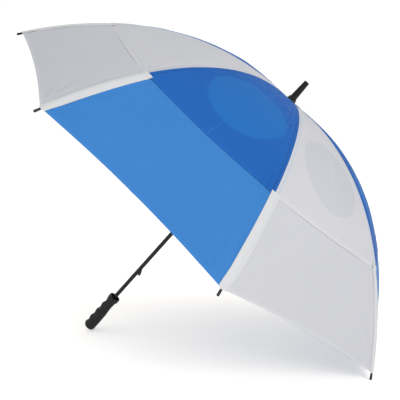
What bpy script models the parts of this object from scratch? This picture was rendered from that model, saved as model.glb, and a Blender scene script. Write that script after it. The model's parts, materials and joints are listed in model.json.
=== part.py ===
"""Golf umbrella with a vented double canopy, standing open on its handle end and two rib tips.

The umbrella is designed in its own frame under the empty umbrella_axis: Z runs up the shaft from
handle to ferrule, z = 0 is the plane of the fabric's corners, and +X is the side that faces the
floor.  The empty then leans the whole umbrella over until its handle end and the two lowest rib
tips touch the floor at z = 0.  Eight equal sectors carry a rib, a strut and their joints; each
moving piece sits under an empty on its own joint's axis.  Metres throughout.
"""

import math

import bmesh
import bpy
from mathutils import Matrix, Vector

# ---- driving dimensions -------------------------------------------------------------------
SECTORS = 8
OPEN_RADIUS = 0.665  # shaft axis to a fabric corner
CENTRE_RADIUS = 0.02 * OPEN_RADIUS  # where a rib's line starts at the crown
SLOPE = (-0.120, 1.417, -0.385)  # a rib's fall from level, rad: a + b s + c s^2 along its arc
HEM_SHARE = 0.6814  # the upper canopy's hem, as a share of the rib's arc
JOINT_SHARE = 0.38  # the strut's joint on the rib, as a share of the rib's arc

FABRIC = 0.0008
GAP = 0.0005  # between the two canopies, and between fabric and rib
ROD_R = 0.0020
ROD_DEPTH = FABRIC + GAP + ROD_R  # rib's centre line below the lower canopy's outer face
HEM_BOW = 0.0085  # how far the upper hem bows out between ribs
EDGE_SCALLOP = 0.0100  # how far the lower edge is cut in between ribs
UPPER_CROWN = 0.0050  # how far the upper canopy billows off the lower one at its hem
PEAK_LIFT = 0.0050  # the fabric rises to the ferrule's washer
PEAK_REACH = 0.045
VENT_SHARE = 0.47
VENT_R = 0.100

SHAFT_R = 0.0060
SHAFT_BORE = 0.0052
SHAFT_TOP = 0.3700
SHAFT_END = -0.5600
RUN = 0.0003  # clearance of a sliding or assembled fit

CROWN_WIRE_R = 0.0120
CROWN_R = 0.0146
CROWN_UNDER = 0.0028  # crown's face below the wire's plane
CROWN_OVER = 0.0034
WIRE = 0.0006  # radius of the two tie wires
WIRE_EYE = 0.00095
SLOT_HALF = 0.0015

STRUT_LENGTH = 0.345  # between its two pivots
STRUT_DROP = 0.0070  # strut pivot below the rib's centre line
STRUT_WIDE = 0.0026
RUNNER_PIVOT_R = 0.0145
RUNNER_SLEEVE_R = 0.0115
RUNNER_FLANGE_R = 0.0172
RUNNER_UNDER = 0.0430  # sleeve below the pivots
RUNNER_OVER = 0.0120
KEYWAY_R = 0.0104
KEY_HALF = 0.0017

CATCH_WIDE = 0.0020
TOP_CATCH_R = 0.0100
TOP_CATCH_LENGTH = 0.0200
LOW_CATCH_R = 0.0135
LOW_CATCH_FOOT = -0.3440
LOW_CATCH_LENGTH = 0.0235

TIP_R = 0.0030
TIP_LENGTH = 0.0150
TIP_BORE_DEPTH = 0.0105

CUP_RIM = -0.4462
CUP_R = 0.0168
CUP_WALL = 0.0024
CUP_DEPTH = 0.0093
CUP_FOOT = -0.4597
GRIP_TOP = -0.4600
GRIP_FOOT = -0.5697
CORE_R = 0.0090
END_FACE = -0.5770
END_R = 0.0158
END_ROUND = 0.0050

FERRULE_FOOT = 0.3345
FERRULE_FLANGE = 0.0050
FERRULE_FLANGE_R = 0.0125
FERRULE_STEM_R = 0.0098
FERRULE_NOSE_R = 0.0074
FERRULE_TIP = 0.3953

CLIP_BACK = -0.0140  # along the rib from the joint
CLIP_FRONT = 0.0040
CLIP_TOP = 0.0014
CLIP_UNDER = -0.0042
CLIP_SIDE = 0.00355
CLIP_CHEEK = 0.00235
CLIP_FLOOR = -0.0031

STRAP_SECTOR = 2
STRAP_HALF = 0.0110
STRAP_THICK = 0.0016

HALF = math.pi / SECTORS
STATIONS = (0.035, 0.08, 0.14, 0.21, 0.295, JOINT_SHARE, 0.47, 0.5676, HEM_SHARE, 0.79, 0.895, 1.0)
PANEL_STEPS = 6

COLOURS = {
    "blue_fabric": ((0.05, 0.17, 0.55), 0.6, 0.0),
    "white_fabric": ((0.78, 0.79, 0.82), 0.6, 0.0),
    "black_plastic": ((0.02, 0.02, 0.02), 0.45, 0.0),
    "rubber": ((0.025, 0.025, 0.027), 0.8, 0.0),
    "steel": ((0.35, 0.35, 0.36), 0.35, 1.0),
    "shaft_finish": ((0.03, 0.03, 0.035), 0.35, 0.0),
    "fibreglass": ((0.03, 0.03, 0.03), 0.4, 0.0),
}


# ---- tools --------------------------------------------------------------------------------
def clear_scene():
    for item in list(bpy.data.objects):
        bpy.data.objects.remove(item, do_unlink=True)


def new_collection(name):
    group = bpy.data.collections.new(name)
    bpy.context.scene.collection.children.link(group)
    return group


def material(name):
    found = bpy.data.materials.get(name)
    if found:
        return found
    colour, rough, metal = COLOURS[name]
    made = bpy.data.materials.new(name)
    made.use_nodes = True
    shader = made.node_tree.nodes["Principled BSDF"]
    shader.inputs["Base Color"].default_value = (*colour, 1.0)
    shader.inputs["Roughness"].default_value = rough
    shader.inputs["Metallic"].default_value = metal
    made.diffuse_color = (*colour, 1.0)
    return made


def scratch(name, data):
    item = bpy.data.objects.new(name, data)
    bpy.context.scene.collection.objects.link(item)
    return item


def flatten(item):
    """The object's evaluated shape as a welded mesh in its parent's space; the object goes."""
    bpy.context.view_layer.update()
    evaluated = item.evaluated_get(bpy.context.evaluated_depsgraph_get())
    mesh = bpy.data.meshes.new_from_object(evaluated)
    mesh.transform(item.matrix_world)
    body = bmesh.new()
    body.from_mesh(mesh)
    bmesh.ops.remove_doubles(body, verts=body.verts, dist=1e-6)
    bmesh.ops.recalc_face_normals(body, faces=body.faces)
    body.to_mesh(mesh)
    body.free()
    bpy.data.objects.remove(item, do_unlink=True)
    return mesh


def combine(mesh, others, operation):
    """Boolean each of the other meshes into or out of the first one."""
    target = scratch("target", mesh)
    tools = [scratch("tool", other) for other in others]
    for tool in tools:
        step = target.modifiers.new("boolean", "BOOLEAN")
        step.operation = operation
        step.solver = "EXACT"
        step.object = tool
    result = flatten(target)
    for tool in tools:
        bpy.data.objects.remove(tool, do_unlink=True)
    return result


def box(low, high, turn=0.0):
    """A box between two corners, turned about Z."""
    body = bmesh.new()
    size = Vector(high) - Vector(low)
    centre = (Vector(high) + Vector(low)) / 2
    place = Matrix.Rotation(turn, 4, "Z") @ Matrix.Translation(centre) @ Matrix.Diagonal((*size, 1))
    bmesh.ops.create_cube(body, size=1.0, matrix=place)
    mesh = bpy.data.meshes.new("box")
    body.to_mesh(mesh)
    body.free()
    return mesh


def turned(profile, steps=24, closed=True):
    """A solid of revolution about Z; the profile lists (radius, height) down its outer side."""
    mesh = bpy.data.meshes.new("profile")
    count = len(profile)
    edges = [(i, (i + 1) % count) for i in range(count if closed else count - 1)]
    mesh.from_pydata([(r, 0.0, z) for r, z in profile], edges, [])
    item = scratch("turned", mesh)
    screw = item.modifiers.new("screw", "SCREW")
    screw.axis = "Z"
    screw.angle = math.tau
    screw.steps = steps
    screw.render_steps = steps
    screw.use_merge_vertices = True
    screw.merge_threshold = 0.00001
    return flatten(item)


def rod(points, radius, sides_level=2):
    """A round rod along points, with flat ends."""
    curve = bpy.data.curves.new("rod", "CURVE")
    curve.dimensions = "3D"
    curve.bevel_depth = radius
    curve.bevel_resolution = sides_level
    curve.use_fill_caps = True
    spline = curve.splines.new("POLY")
    spline.points.add(len(points) - 1)
    for slot, point in zip(spline.points, points):
        slot.co = (*point, 1.0)
    return flatten(scratch("rod", curve))


def plate(outlines, thickness):
    """A flat plate in the XZ plane, centred on Y; outlines after the first are holes."""
    curve = bpy.data.curves.new("plate", "CURVE")
    curve.dimensions = "2D"
    curve.fill_mode = "BOTH"
    curve.extrude = thickness / 2
    for outline in outlines:
        spline = curve.splines.new("POLY")
        spline.points.add(len(outline) - 1)
        for slot, (x, z) in zip(spline.points, outline):
            slot.co = (x, z, 0.0, 1.0)
        spline.use_cyclic_u = True
    item = scratch("plate", curve)
    item.matrix_world = Matrix.Rotation(math.pi / 2, 4, "X")
    return flatten(item)


def circle(x, z, radius, count=12, start=0.0, sweep=math.tau):
    """Points on a circle, or on an arc of it that includes both of its ends."""
    last = count if sweep >= math.tau else count - 1
    angles = [start + sweep * i / last for i in range(count)]
    return [(x + radius * math.cos(a), z + radius * math.sin(a)) for a in angles]


def moved(mesh, matrix):
    mesh.transform(matrix)
    return mesh


def joined(meshes):
    """Several meshes that don't touch, as one cutter."""
    body = bmesh.new()
    for mesh in meshes:
        body.from_mesh(mesh)
    result = bpy.data.meshes.new("joined")
    body.to_mesh(result)
    body.free()
    return result


def finish_mesh(mesh, colour):
    mesh.shade_smooth()
    mesh.set_sharp_from_angle(angle=math.radians(35))
    mesh.materials.clear()
    mesh.materials.append(material(colour))
    return mesh


def empty(name, parent, place=(0.0, 0.0, 0.0)):
    item = bpy.data.objects.new(name, None)
    item.empty_display_size = 0.02
    item.parent = parent
    item.location = place
    PARTS.objects.link(item)
    return item


def add(name, mesh, parent):
    item = bpy.data.objects.new(name, mesh)
    item.parent = parent
    PARTS.objects.link(item)
    return item


# ---- the rib's line -----------------------------------------------------------------------
LINE_STEPS = 400


def slope(share):
    return SLOPE[0] + SLOPE[1] * share + SLOPE[2] * share * share


def raw_line(share):
    """Radius gained and height lost along a rib of unit arc."""
    out, down = 0.0, 0.0
    steps = max(1, round(LINE_STEPS * share))
    for i in range(steps):
        angle = slope(share * (i + 0.5) / steps)
        out += math.cos(angle) * share / steps
        down += math.sin(angle) * share / steps
    return out, down


RIB_ARC = (OPEN_RADIUS - CENTRE_RADIUS) / raw_line(1.0)[0]
RIB_RISE = RIB_ARC * raw_line(1.0)[1]


def line(share, depth=0.0):
    """Radius and height on a rib's line, a depth below the lower canopy's outer face."""
    out, down = raw_line(share)
    angle = slope(share)
    radius = CENTRE_RADIUS + RIB_ARC * out - depth * math.sin(angle)
    return radius, RIB_RISE - RIB_ARC * down - depth * math.cos(angle)


CROWN_Z = line(0.0, ROD_DEPTH)[1]
CROWN_PIVOT = Vector((CROWN_WIRE_R, 0.0, CROWN_Z))
JOINT_SLOPE = slope(JOINT_SHARE)
JOINT_R, JOINT_Z = line(JOINT_SHARE, ROD_DEPTH)
JOINT = Vector((JOINT_R, 0.0, JOINT_Z))
STRUT_PIVOT = JOINT - STRUT_DROP * Vector((math.sin(JOINT_SLOPE), 0.0, math.cos(JOINT_SLOPE)))
STRUT_FALL = math.sqrt(STRUT_LENGTH**2 - (STRUT_PIVOT.x - RUNNER_PIVOT_R) ** 2)
RUNNER_Z = STRUT_PIVOT.z - STRUT_FALL
RUNNER_PIVOT = Vector((RUNNER_PIVOT_R, 0.0, RUNNER_Z))


def along(angle):
    """A frame whose X falls from level by an angle and whose Z is the outward normal."""
    return Matrix.Rotation(angle, 4, "Y")


# ---- canopies -----------------------------------------------------------------------------
def smooth_step(value):
    value = min(1.0, max(0.0, value))
    return value * value * (3 - 2 * value)


def fabric_point(share, across, sector, height, crown, edge_shift):
    """A point of the fabric: share along the rib, across from -1 to 1 between two ribs."""
    bow = 1.0 - across * across
    share = share + edge_shift * bow
    radius, z = line(share, -height)
    angle = slope(share)
    middle = radius * math.cos(HALF) + crown * bow * math.sin(angle)
    z += crown * bow * math.cos(angle) + PEAK_LIFT * (1 - smooth_step(radius / PEAK_REACH))
    turn = (2 * sector + 2) * HALF
    side = across * radius * math.sin(HALF)
    return (
        middle * math.cos(turn) - side * math.sin(turn),
        middle * math.sin(turn) + side * math.cos(turn),
        z,
    )


def canopy(stations, height, crown_at_edge, edge_shift, edge_from):
    """A ring of eight panels, as a sheet with Solidify inwards."""
    columns = SECTORS * PANEL_STEPS
    body = bmesh.new()
    rows = []
    hole = SHAFT_R + 4 * RUN
    centre_z = line(0.0, -height)[1] + PEAK_LIFT
    for radius in (hole, CENTRE_RADIUS):
        turns = [2 * HALF * (0.5 + c / PANEL_STEPS) for c in range(columns)]
        ring = [(radius * math.cos(t), radius * math.sin(t), centre_z) for t in turns]
        rows.append([body.verts.new(place) for place in ring])
    for share in stations:
        ring = []
        late = max(0.0, (share - edge_from) / (stations[-1] - edge_from)) ** 2
        for column in range(columns):
            sector, step = divmod(column, PANEL_STEPS)
            across = 2 * step / PANEL_STEPS - 1
            crown = crown_at_edge * smooth_step(share / stations[-1])
            place = fabric_point(share, across, sector, height, crown, edge_shift * late)
            ring.append(body.verts.new(place))
        rows.append(ring)
    for inner, outer in zip(rows, rows[1:]):
        for c in range(columns):
            d = (c + 1) % columns
            body.faces.new((inner[c], outer[c], outer[d], inner[d]))
    mesh = bpy.data.meshes.new("sheet")
    body.to_mesh(mesh)
    body.free()
    item = scratch("sheet", mesh)
    shell = item.modifiers.new("solidify", "SOLIDIFY")
    shell.thickness = FABRIC
    shell.offset = -1.0
    return flatten(item)


def vent_cutters():
    """One cylinder through the middle of each lower panel, square to it."""
    tools = []
    radius, z = line(VENT_SHARE)
    fall = math.atan2(math.tan(slope(VENT_SHARE)), math.cos(HALF))
    for sector in range(SECTORS):
        body = bmesh.new()
        bmesh.ops.create_cone(
            body, cap_ends=True, segments=20, radius1=VENT_R, radius2=VENT_R, depth=0.08
        )
        mesh = bpy.data.meshes.new("vent")
        body.to_mesh(mesh)
        body.free()
        place = Matrix.Rotation((2 * sector + 2) * HALF, 4, "Z")
        place = place @ Matrix.Translation((radius * math.cos(HALF), 0.0, z)) @ along(fall)
        tools.append(moved(mesh, place))
    return joined(tools)


def make_canopies(axis):
    lower = canopy(STATIONS, 0.0, 0.0, -EDGE_SCALLOP / RIB_ARC, HEM_SHARE)
    lower = combine(lower, [vent_cutters()], "DIFFERENCE")
    add("lower_canopy", finish_mesh(lower, "white_fabric"), axis)
    stations = STATIONS[: STATIONS.index(HEM_SHARE) + 1]
    upper = canopy(stations, FABRIC + GAP, UPPER_CROWN, HEM_BOW / RIB_ARC, 0.0)
    add("upper_canopy", finish_mesh(upper, "blue_fabric"), axis)


# ---- shaft, crown and ferrule -------------------------------------------------------------
def ring_profile(inner, outer, foot, top):
    return [(inner, top), (outer, top), (outer, foot), (inner, foot)]


def make_shaft(axis):
    tube = turned(ring_profile(SHAFT_BORE, SHAFT_R, SHAFT_END, SHAFT_TOP))
    half = CATCH_WIDE / 2 + RUN
    top = RUNNER_Z - RUNNER_UNDER - GAP
    spans = [
        (top - TOP_CATCH_LENGTH, top),
        (LOW_CATCH_FOOT, LOW_CATCH_FOOT + LOW_CATCH_LENGTH),
    ]
    slits = [box((0.0, -half, low - RUN), (0.02, half, high + RUN)) for low, high in spans]
    add("shaft", finish_mesh(combine(tube, slits, "DIFFERENCE"), "shaft_finish"), axis)


def make_crown(axis):
    """The top notch: a hub whose rim is slotted for the rib ends and grooved for their wire."""
    low, high = CROWN_Z - CROWN_UNDER, CROWN_Z + CROWN_OVER
    disc = turned(ring_profile(SHAFT_R + RUN, CROWN_R, low, high), steps=32)
    floor = CROWN_WIRE_R - 0.0024
    slots = [
        box((floor, -SLOT_HALF, low - 0.01), (0.03, SLOT_HALF, CROWN_Z + 0.0024), HALF * (2 * i + 1))
        for i in range(SECTORS)
    ]
    groove = ring_profile(CROWN_WIRE_R - WIRE_EYE, 0.03, CROWN_Z - WIRE_EYE, CROWN_Z + WIRE_EYE)
    cut = combine(disc, slots + [turned(groove, steps=32)], "DIFFERENCE")
    add("crown", finish_mesh(cut, "black_plastic"), axis)
    add("crown_wire", finish_mesh(tie_wire(CROWN_WIRE_R, CROWN_Z), "steel"), axis)


def tie_wire(radius, height):
    """A closed ring of wire."""
    return turned([(radius + x, z) for x, z in circle(0.0, height, WIRE, 6)][::-1], steps=32)


def make_ferrule(axis):
    foot, top = FERRULE_FOOT, FERRULE_TIP
    bore = SHAFT_R + RUN
    shoulder = foot + FERRULE_FLANGE
    profile = [
        (0.0, top),
        (FERRULE_NOSE_R - 0.0008, top),
        (FERRULE_NOSE_R, top - 0.0008),
        (FERRULE_STEM_R, shoulder + 0.0015),
        (FERRULE_FLANGE_R - 0.0008, shoulder),
        (FERRULE_FLANGE_R, shoulder - 0.0008),
        (FERRULE_FLANGE_R, foot + 0.0005),
        (FERRULE_FLANGE_R - 0.0005, foot),
        (bore, foot),
        (bore, SHAFT_TOP + GAP),
        (0.0, SHAFT_TOP + GAP),
    ]
    add("ferrule", finish_mesh(turned(profile, closed=False), "black_plastic"), axis)
    peak = line(0.0, -(FABRIC + GAP))[1] + PEAK_LIFT
    washer = ring_profile(bore, FERRULE_FLANGE_R + 0.0015, peak + RUN, foot - RUN)
    add("ferrule_washer", finish_mesh(turned(washer), "rubber"), axis)
    low = line(0.0)[1] + PEAK_LIFT - FABRIC - RUN
    pad = ring_profile(bore, CROWN_R, CROWN_Z + CROWN_OVER + RUN, low)
    add("crown_pad", finish_mesh(turned(pad), "rubber"), axis)


# ---- ribs ---------------------------------------------------------------------------------
def rib_points(first, last):
    """The rib's centre line between two shares of its arc, through the canopy's stations."""
    shares = [first] + [s for s in STATIONS if first < s < last] + [last]
    points = []
    for share in shares:
        radius, z = line(share, ROD_DEPTH)
        points.append(Vector((radius, 0.0, z)))
    return points


def inner_rib():
    """The rod from the crown to the joint, with a flat eye for the crown's wire."""
    start, end = 0.0045 / RIB_ARC, JOINT_SHARE - 0.0040 / RIB_ARC
    shaft = rod([p - CROWN_PIVOT for p in rib_points(start, end)], ROD_R)
    eye, reach, half = 0.0020, 0.0085, 0.0016
    outline = circle(0.0, 0.0, eye, 9, math.radians(55), math.radians(250))
    outline += [(reach, -half), (reach, half)]
    tang = plate([outline, circle(0.0, 0.0, WIRE_EYE, 8)], 0.0020)
    return combine(shaft, [moved(tang, along(slope(0.0)))], "UNION")


def outer_rib():
    """The rod from the joint to its tip, where it runs straight into the tip's socket."""
    points = rib_points(JOINT_SHARE, 1.0)
    ahead = Vector((math.cos(slope(1.0)), 0.0, -math.sin(slope(1.0))))
    points.append(points[-1] + (GAP + TIP_BORE_DEPTH) * ahead)
    return rod([p - JOINT for p in points], ROD_R)


def rib_tip():
    """A round-nosed plastic cap on the rib's end."""
    foot = GAP + RUN
    bore = ROD_R + RUN
    deep = foot + TIP_BORE_DEPTH
    top = TIP_LENGTH - TIP_R
    nose = [(TIP_R * math.sin(a), top + TIP_R * math.cos(a)) for a in (0.0, 0.7, 1.2)]
    profile = nose + [(TIP_R, top), (TIP_R, foot), (bore, foot), (bore, deep), (0.0, deep)]
    mesh = turned(profile, steps=12, closed=False)
    radius, z = line(1.0, ROD_DEPTH)
    place = Matrix.Translation(Vector((radius, 0.0, z)) - JOINT) @ along(slope(1.0))
    return moved(mesh, place @ Matrix.Rotation(math.pi / 2, 4, "Y"))


def clip():
    """The channel at the joint: it grips the inner rod and its cheeks carry the strut's pin."""
    ear = 0.0032
    arc = circle(0.0, -STRUT_DROP, ear, 7, math.pi, math.pi)
    rear = [(CLIP_BACK, CLIP_TOP), (CLIP_BACK, CLIP_UNDER), (-ear - 0.0012, CLIP_UNDER)]
    nose = [(CLIP_FRONT, CLIP_UNDER + 0.0014), (CLIP_FRONT, CLIP_TOP)]
    whole = plate([rear + arc + nose], 2 * CLIP_SIDE)
    far, high = CLIP_FRONT + 0.01, CLIP_TOP + 0.01
    rod_way = box((CLIP_BACK - 0.01, -CLIP_CHEEK, CLIP_FLOOR), (far, CLIP_CHEEK, high))
    wide = CLIP_CHEEK + 0.0001
    strut_way = box((-0.0036, -wide, -0.03), (far, wide, high))
    channel = combine(whole, [rod_way, strut_way], "DIFFERENCE")
    pin_end = CLIP_SIDE - 0.0003
    pin = rod([(0.0, -pin_end, -STRUT_DROP), (0.0, pin_end, -STRUT_DROP)], 0.0008)
    return moved(combine(channel, [pin], "UNION"), along(JOINT_SLOPE))


def strut():
    """A flat bar from the clip's pin to the runner's wire, which it rests against like a hook."""
    seat, lip, heel = 0.00095, -0.0011, 0.0031
    end = STRUT_LENGTH
    eye, bar = 0.0026, 0.0013
    arc = circle(0.0, 0.0, eye, 9, math.radians(30), math.radians(300))
    inner = [(0.004, -bar), (end + seat, seat), (end + seat, lip), (end + 0.0024, lip)]
    outer = [(end + 0.0024, heel), (0.004, bar)]
    mesh = plate([arc + inner + outer, circle(0.0, 0.0, 0.0012, 8)], STRUT_WIDE)
    fall = math.atan2(STRUT_PIVOT.z - RUNNER_PIVOT.z, RUNNER_PIVOT.x - STRUT_PIVOT.x)
    return moved(mesh, along(fall))


def tie_strap():
    """The fastening strap, lying folded back along one rib's seam on the outside."""
    body = bmesh.new()
    rows = []
    for share in (0.72, 0.79, 0.895, 0.93):
        radius, z = line(share, -(GAP + STRAP_THICK))
        pair = [Vector((radius, y, z)) - JOINT for y in (-STRAP_HALF, STRAP_HALF)]
        rows.append([body.verts.new(place) for place in pair])
    for a, b in zip(rows, rows[1:]):
        body.faces.new((a[0], b[0], b[1], a[1]))
    mesh = bpy.data.meshes.new("strap")
    body.to_mesh(mesh)
    body.free()
    item = scratch("strap", mesh)
    shell = item.modifiers.new("solidify", "SOLIDIFY")
    shell.thickness = STRAP_THICK
    shell.offset = -1.0
    return flatten(item)


def make_sectors(axis):
    meshes = {
        "rib_inner": finish_mesh(inner_rib(), "fibreglass"),
        "rib_clip": finish_mesh(clip(), "black_plastic"),
        "rib_outer": finish_mesh(outer_rib(), "fibreglass"),
        "rib_tip": finish_mesh(rib_tip(), "black_plastic"),
        "strut": finish_mesh(strut(), "fibreglass"),
    }
    for i in range(SECTORS):
        sector = empty(f"sector_{i}", axis)
        sector.rotation_euler.z = HALF * (2 * i + 1)
        crown_pivot = empty(f"crown_pivot_{i}", sector, CROWN_PIVOT)
        joint = empty(f"joint_pivot_{i}", sector, JOINT)
        strut_pivot = empty(f"strut_pivot_{i}", sector, STRUT_PIVOT)
        add(f"rib_inner_{i}", meshes["rib_inner"], crown_pivot)
        add(f"rib_clip_{i}", meshes["rib_clip"], joint)
        add(f"rib_outer_{i}", meshes["rib_outer"], joint)
        add(f"rib_tip_{i}", meshes["rib_tip"], joint)
        add(f"strut_{i}", meshes["strut"], strut_pivot)
        if i == STRAP_SECTOR:
            add("tie_strap", finish_mesh(tie_strap(), "blue_fabric"), joint)


# ---- runner and catches -------------------------------------------------------------------
def make_runner(axis):
    """The sleeve that slides on the shaft: its flange is slotted for the strut ends."""
    origin = empty("runner_origin", axis, (0.0, 0.0, RUNNER_Z))
    flange, flare_r, flare = 0.0035, 0.0135, 0.0050
    foot, top = -RUNNER_UNDER, RUNNER_OVER
    sleeve, bore = RUNNER_SLEEVE_R, SHAFT_R + RUN
    profile = [
        (bore, top),
        (sleeve - 0.0010, top),
        (sleeve, top - 0.0010),
        (sleeve, flange + 0.0010),
        (RUNNER_FLANGE_R, flange),
        (RUNNER_FLANGE_R, -flange),
        (sleeve, -flange - 0.0030),
        (sleeve, foot + flare + 0.0050),
        (flare_r, foot + flare),
        (flare_r, foot + 0.0010),
        (flare_r - 0.0010, foot),
        (bore, foot),
    ]
    body = turned(profile, steps=32)
    slots = [
        box((0.0109, -0.0018, -flange - 0.01), (0.03, 0.0018, flange + 0.01), HALF * (2 * i + 1))
        for i in range(SECTORS)
    ]
    groove = ring_profile(RUNNER_PIVOT_R - WIRE_EYE, 0.03, -WIRE_EYE, WIRE_EYE)
    keyway = box((0.0, -KEY_HALF, foot - 0.01), (KEYWAY_R, KEY_HALF, top + 0.01))
    catch_slot = box((0.0, -KEY_HALF, foot - 0.01), (0.03, KEY_HALF, foot + 0.0340))
    cut = combine(body, slots + [turned(groove, steps=32), keyway, catch_slot], "DIFFERENCE")
    add("runner", finish_mesh(cut, "black_plastic"), origin)
    add("runner_wire", finish_mesh(tie_wire(RUNNER_PIVOT_R, 0.0), "steel"), origin)


def catch(reach, foot, length, blunt_top):
    """A leaf in the shaft's bore with a wedge that stands out through the shaft's slit."""
    back, wall, spare = 0.0033, 0.0048, 0.0040
    head = foot + length
    leaf = [
        (wall, foot),
        (wall, foot - spare),
        (back, foot - spare),
        (back, head + spare),
        (wall, head + spare),
        (wall, head),
    ]
    if blunt_top:
        nose = [(reach, head), (reach, head - 0.0015)]
    else:
        nose = [(reach, foot + 0.0020), (reach, foot)]
    return plate([leaf + nose], CATCH_WIDE)


def make_catches(axis):
    head = RUNNER_Z - RUNNER_UNDER - GAP
    top = catch(TOP_CATCH_R, head - TOP_CATCH_LENGTH, TOP_CATCH_LENGTH, True)
    low = catch(LOW_CATCH_R, LOW_CATCH_FOOT, LOW_CATCH_LENGTH, False)
    add("top_spring", finish_mesh(top, "steel"), axis)
    add("bottom_spring", finish_mesh(low, "steel"), axis)


# ---- handle -------------------------------------------------------------------------------
GRIP_ROWS = 23
GRIP_SIDES = 20
FINGERS = 4


def grip_radius(share, angle):
    """The grip's outer radius: a waist under the cup, a fuller end, and finger grooves at -X."""
    body = 0.0141 + 0.0022 * smooth_step(share / 0.85)
    palm = max(0.0, -math.cos(angle))
    wave = 0.5 - 0.5 * math.cos(math.tau * FINGERS * share)
    groove = 0.0016 * wave * palm * (share < 1.0)
    waist = 0.0012 * math.sin(math.pi * min(1.0, share / 0.45)) * max(0.0, math.cos(angle))
    return body - groove - waist + 0.0010 * palm


def make_grip(axis):
    """The rubber sleeve of the handle, with a round bore for the core."""
    length = GRIP_TOP - GRIP_FOOT
    bore = CORE_R + RUN
    turns = [math.tau * c / GRIP_SIDES for c in range(GRIP_SIDES)]
    body = bmesh.new()
    loops = []
    for row in range(GRIP_ROWS):
        share = row / (GRIP_ROWS - 1)
        z = GRIP_TOP - share * length
        ring = [(grip_radius(share, t), t) for t in turns]
        loops.append([body.verts.new((r * math.cos(t), r * math.sin(t), z)) for r, t in ring])
    for z in (GRIP_FOOT, GRIP_TOP):
        ring = [(bore * math.cos(t), bore * math.sin(t), z) for t in turns]
        loops.append([body.verts.new(place) for place in ring])
    for above, below in zip(loops, loops[1:] + loops[:1]):
        for c in range(GRIP_SIDES):
            d = (c + 1) % GRIP_SIDES
            body.faces.new((above[c], below[c], below[d], above[d]))
    grip = bpy.data.meshes.new("grip")
    body.to_mesh(grip)
    body.free()
    add("handle_grip", finish_mesh(flatten(scratch("grip", grip)), "rubber"), axis)


def make_cup(axis):
    """The cup that catches the rib tips when the umbrella is closed."""
    bore = SHAFT_R + RUN
    inner = CUP_R - CUP_WALL
    cup = [
        (inner, CUP_RIM),
        (CUP_R - 0.0006, CUP_RIM),
        (CUP_R, CUP_RIM - 0.0010),
        (CUP_R, CUP_FOOT + 0.0030),
        (CUP_R - 0.0016, CUP_FOOT),
        (bore, CUP_FOOT),
        (bore, CUP_RIM - CUP_DEPTH),
        (inner, CUP_RIM - CUP_DEPTH),
    ]
    add("handle_cup", finish_mesh(turned(cup), "black_plastic"), axis)
    core = ring_profile(bore, CORE_R, GRIP_FOOT, GRIP_TOP)
    add("handle_core", finish_mesh(turned(core), "black_plastic"), axis)


def make_end_cap(axis):
    """The rubber cap the umbrella stands on, with a stub up to the shaft's end."""
    top = GRIP_FOOT - RUN
    stub = top + 0.0075
    centre_r, centre_z = END_R - END_ROUND, END_FACE + END_ROUND
    corner = circle(centre_r, centre_z, END_ROUND, 5, 0.0, -math.pi / 2)
    cap = [(0.0, stub), (SHAFT_R, stub), (SHAFT_R, top), (END_R, top)]
    cap += corner + [(0.0, END_FACE)]
    add("handle_end_cap", finish_mesh(turned(cap, closed=False), "rubber"), axis)


# ---- stance -------------------------------------------------------------------------------
def stance():
    """The lean about Y at which the handle's end and the two lowest rib tips share one plane."""
    radius, z = line(1.0, ROD_DEPTH)
    reach = TIP_LENGTH - TIP_R
    tip_x = (radius + reach * math.cos(slope(1.0))) * math.cos(HALF)
    tip_z = z - reach * math.sin(slope(1.0))
    span_x, span_z = tip_x - (END_R - END_ROUND), tip_z - (END_FACE + END_ROUND)
    distance = math.hypot(span_x, span_z)
    return math.atan2(span_x, span_z) - math.asin((END_ROUND - TIP_R) / distance)


def stand(axis):
    """Lean the umbrella over, then centre it on the origin with its lowest point at z = 0."""
    axis.rotation_euler.y = math.pi / 2 - stance()
    bpy.context.view_layer.update()
    graph = bpy.context.evaluated_depsgraph_get()
    corners = []
    for item in PARTS.objects:
        if item.type == "MESH":
            shape = item.evaluated_get(graph)
            corners += [shape.matrix_world @ vertex.co for vertex in shape.data.vertices]
    low = [min(p[i] for p in corners) for i in range(3)]
    high = [max(p[i] for p in corners) for i in range(3)]
    axis.location = (-(low[0] + high[0]) / 2, -(low[1] + high[1]) / 2, -low[2])
    bpy.context.view_layer.update()


clear_scene()
PARTS = new_collection("golf_umbrella")
AXIS = empty("umbrella_axis", None)
make_shaft(AXIS)
make_crown(AXIS)
make_ferrule(AXIS)
make_canopies(AXIS)
make_sectors(AXIS)
make_runner(AXIS)
make_catches(AXIS)
make_grip(AXIS)
make_cup(AXIS)
make_end_cap(AXIS)
stand(AXIS)
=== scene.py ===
"""Looks of the golf umbrella: sewn fabric, tapes, moulded handle and tip, on a white studio floor.

Everything is placed in the umbrella's own frame, which is read from the record: Z runs up the
shaft from handle to tip, z = 0 is the plane of the fabric's corners, and +X faces the floor.
A place on the cloth is its share of the rib's arc, from 0 at the crown to 1 at the rim, and how
far across the panel it is, from -1 at one rib to 1 at the next. Lengths are in metres.
"""

import json
import math

import bpy
import numpy as np
from mathutils import Matrix, Vector


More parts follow.
